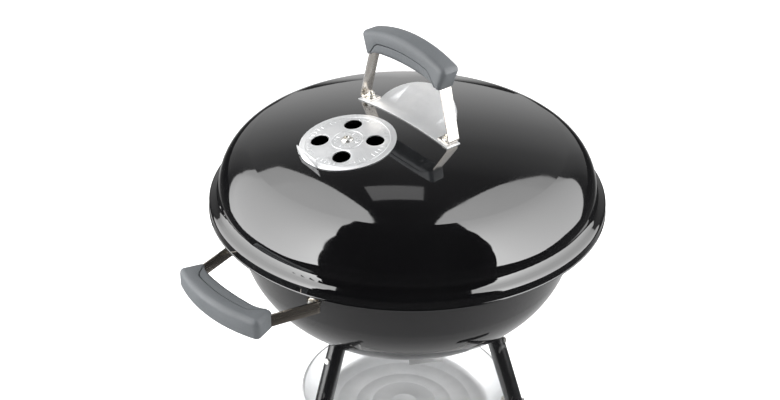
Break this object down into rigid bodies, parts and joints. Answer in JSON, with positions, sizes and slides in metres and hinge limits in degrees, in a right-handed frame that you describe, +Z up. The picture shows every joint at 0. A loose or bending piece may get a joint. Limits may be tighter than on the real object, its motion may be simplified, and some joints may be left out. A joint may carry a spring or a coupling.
{
  "type": "kettle charcoal grill",
  "caption": "Round kettle grill for charcoal: a domed lid and a bowl in black enamel on a tripod of tubes with wheels, grates, vents and an ash pan.",
  "frame": {"origin": "on the floor under the centre of the bowl", "axes": "+Z up; -X towards the bowl handle and the plain leg; +X towards the axle; Y along the axle"},
  "size_m": [0.5508, 0.5734, 0.8997],
  "materials": {
    "black_enamel": "gloss porcelain enamel",
    "handle_steel": "bright satin strap",
    "bright_aluminium": "satin sheet",
    "zinc_steel": "zinc plated",
    "grip_plastic": "fine textured glass-filled nylon",
    "plated_wire": "bright plated wire",
    "leg_enamel": "gloss black tube",
    "black_plastic": "moulded",
    "grey_plastic": "moulded"
  },
  "bodies": {
    "kettle": {"bowl_shell": "black_enamel", "bowl_handle_strap": "handle_steel", "bowl_damper_rivets": "bright_aluminium", "bowl_grip_screws": "zinc_steel", "bowl_handle_bolts": "zinc_steel", "bowl_handle_nuts": "zinc_steel", "bowl_handle_spacers": "zinc_steel", "leg_screws": "zinc_steel", "axle": "zinc_steel", "axle_spacers": "zinc_steel", "axle_push_nuts": "zinc_steel", "cooking_grate_ledges": "zinc_steel", "charcoal_grate_ledges": "zinc_steel", "bowl_grip_outer": "grip_plastic", "bowl_grip_inner": "grip_plastic", "lower_rack": "plated_wire", "leg_plain": "leg_enamel", "leg_left": "leg_enamel", "leg_right": "leg_enamel", "leg_stub_plain": "leg_enamel", "leg_stub_left": "leg_enamel", "leg_stub_right": "leg_enamel", "leg_foot": "black_plastic", "leg_plugs": "black_plastic"},
    "lid": {"lid_shell": "black_enamel", "lid_handle_strap": "handle_steel", "lid_grip_outer": "grip_plastic", "lid_grip_inner": "grip_plastic", "lid_grip_screws": "zinc_steel", "lid_heat_shield": "bright_aluminium", "lid_handle_bolts": "zinc_steel", "lid_handle_nuts": "zinc_steel", "lid_damper_rivet": "bright_aluminium"},
    "lid_vent": {"lid_damper": "bright_aluminium"},
    "bottom_vent_1": {"bowl_damper_1": "bright_aluminium"},
    "bottom_vent_2": {"bowl_damper_2": "bright_aluminium"},
    "bottom_vent_3": {"bowl_damper_3": "bright_aluminium"},
    "food_grate": {"cooking_grate": "plated_wire"},
    "coal_grate": {"charcoal_grate": "plated_wire"},
    "left_wheel": {"wheel_left": "black_plastic", "hub_cap_left": "grey_plastic"},
    "right_wheel": {"wheel_right": "black_plastic", "hub_cap_right": "grey_plastic"},
    "pan": {"ash_pan": "bright_aluminium", "ash_pan_clips": "zinc_steel"}
  },
  "joints": [
    {"name": "lid_lift", "type": "slide", "parent": "kettle", "child": "lid", "axis": [0, 0, 1], "range_m": [0, 0.3]},
    {"name": "lid_vent_turn", "type": "hinge", "parent": "lid", "child": "lid_vent", "pos_m": [-0.08615, 0.01211, 0.78775], "axis": [-0.1551, 0.0218, 0.9877], "range_deg": [0, 45]},
    {"name": "bottom_vent_1_turn", "type": "hinge", "parent": "kettle", "child": "bottom_vent_1", "pos_m": [-0.038, 0.06582, 0.51199], "axis": [-0.1324, 0.2294, -0.9643], "range_deg": [0, 60]},
    {"name": "bottom_vent_2_turn", "type": "hinge", "parent": "kettle", "child": "bottom_vent_2", "pos_m": [0.076, 0, 0.51199], "axis": [0.2649, 0, -0.9643], "range_deg": [0, 60]},
    {"name": "bottom_vent_3_turn", "type": "hinge", "parent": "kettle", "child": "bottom_vent_3", "pos_m": [-0.038, -0.06582, 0.51199], "axis": [-0.1324, -0.2294, -0.9643], "range_deg": [0, 60]},
    {"name": "food_grate_lift", "type": "slide", "parent": "kettle", "child": "food_grate", "axis": [0, 0, 1], "range_m": [0, 0.06]},
    {"name": "coal_grate_lift", "type": "slide", "parent": "kettle", "child": "coal_grate", "axis": [0, 0, 1], "range_m": [0, 0.05]},
    {"name": "left_wheel_spin", "type": "hinge", "parent": "kettle", "child": "left_wheel", "pos_m": [0.12635, 0.25669, 0.075], "axis": [0, 1, 0], "continuous": true},
    {"name": "right_wheel_spin", "type": "hinge", "parent": "kettle", "child": "right_wheel", "pos_m": [0.12635, -0.25669, 0.075], "axis": [0, 1, 0], "continuous": true},
    {"name": "pan_drop", "type": "slide", "parent": "kettle", "child": "pan", "axis": [0, 0, -1], "range_m": [0, 0.1]}
  ]
}
